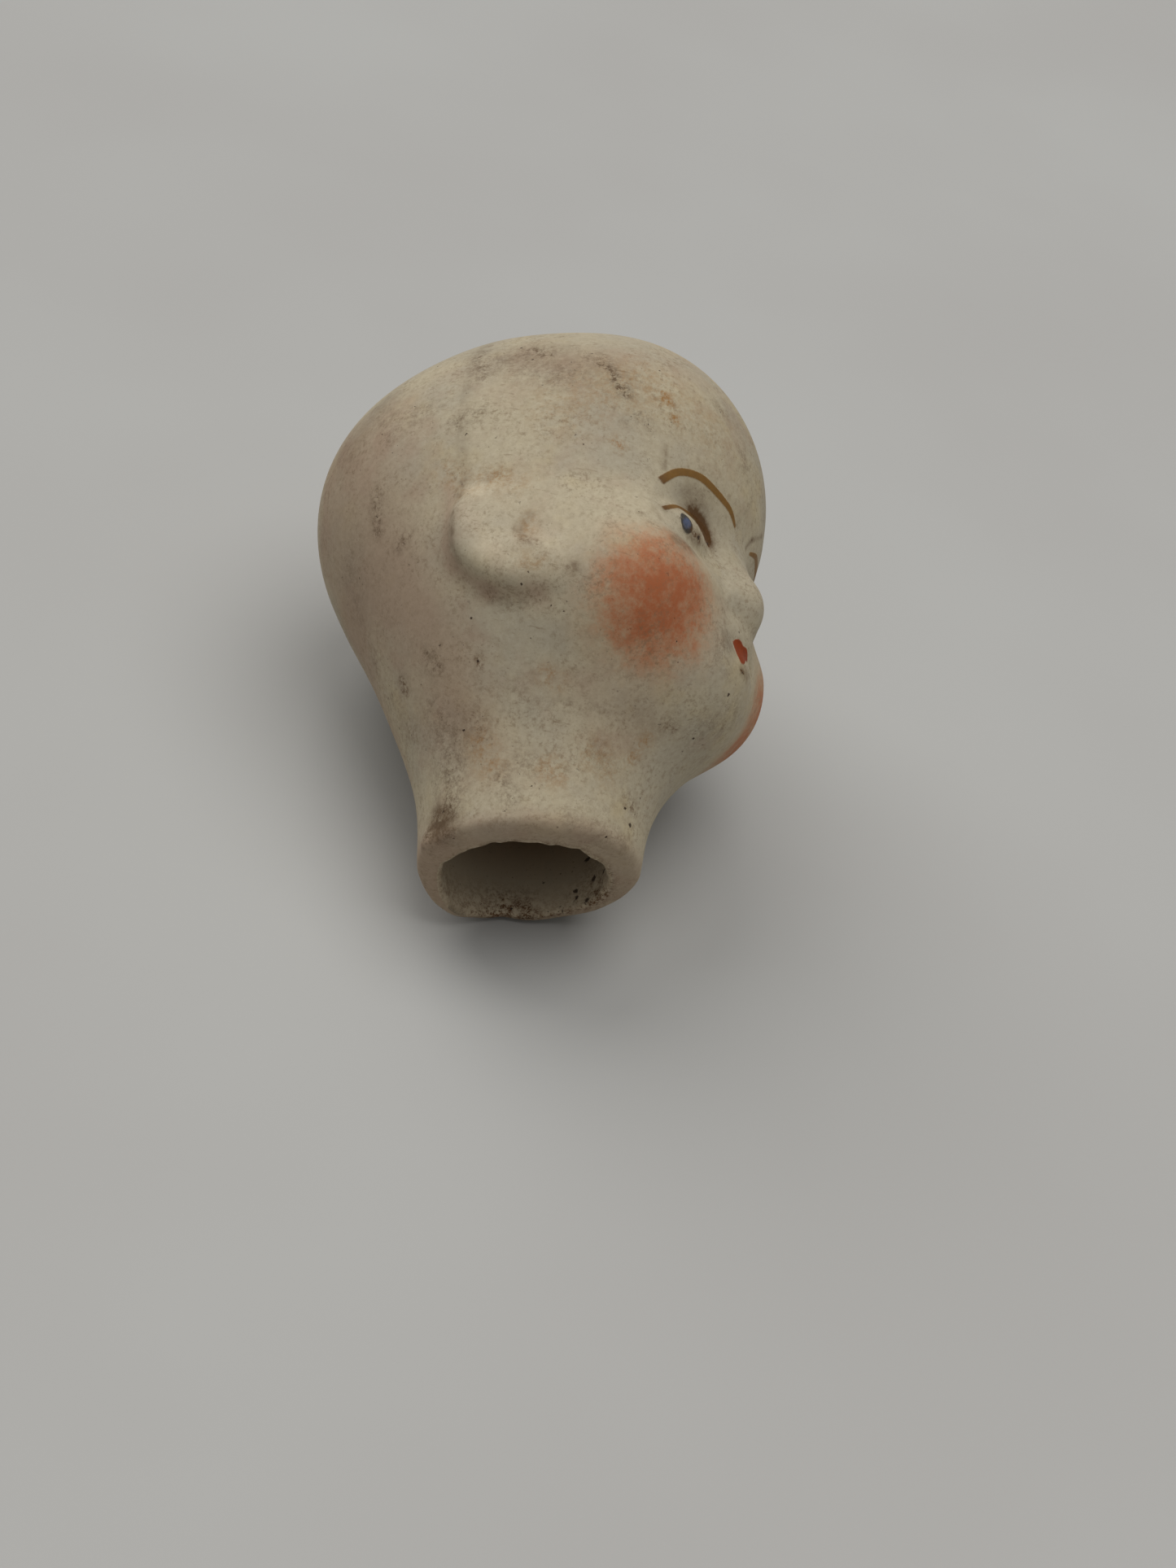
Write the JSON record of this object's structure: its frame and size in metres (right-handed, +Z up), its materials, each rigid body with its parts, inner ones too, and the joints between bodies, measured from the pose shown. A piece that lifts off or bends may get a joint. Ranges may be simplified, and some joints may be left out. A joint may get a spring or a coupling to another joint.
{
  "type": "doll head",
  "caption": "Small hollow bisque doll head with moulded ears, a short open neck and painted brows, eyes and mouth, lying on its side.",
  "frame": {"origin": "middle of the footprint, on the surface the head lies on", "axes": "+Z up; the face looks along +X and 30 degrees upward; the crown points to +Y and the neck opens to -Y"},
  "size_m": [0.0382, 0.048, 0.0344],
  "materials": {
    "bisque": "unglazed bisque, slightly grained and dusty, with soft orange-red cheeks",
    "brown_enamel": "fired brown enamel, satin",
    "blue_enamel": "fired blue enamel, satin",
    "red_enamel": "fired orange-red enamel, satin"
  },
  "bodies": {
    "root": {"bisque_head": "bisque", "right_brow_enamel": "brown_enamel", "left_brow_enamel": "brown_enamel", "right_lid_line_enamel": "brown_enamel", "left_lid_line_enamel": "brown_enamel", "right_iris_enamel": "blue_enamel", "left_iris_enamel": "blue_enamel", "lip_enamel": "red_enamel"}
  },
  "joints": []
}
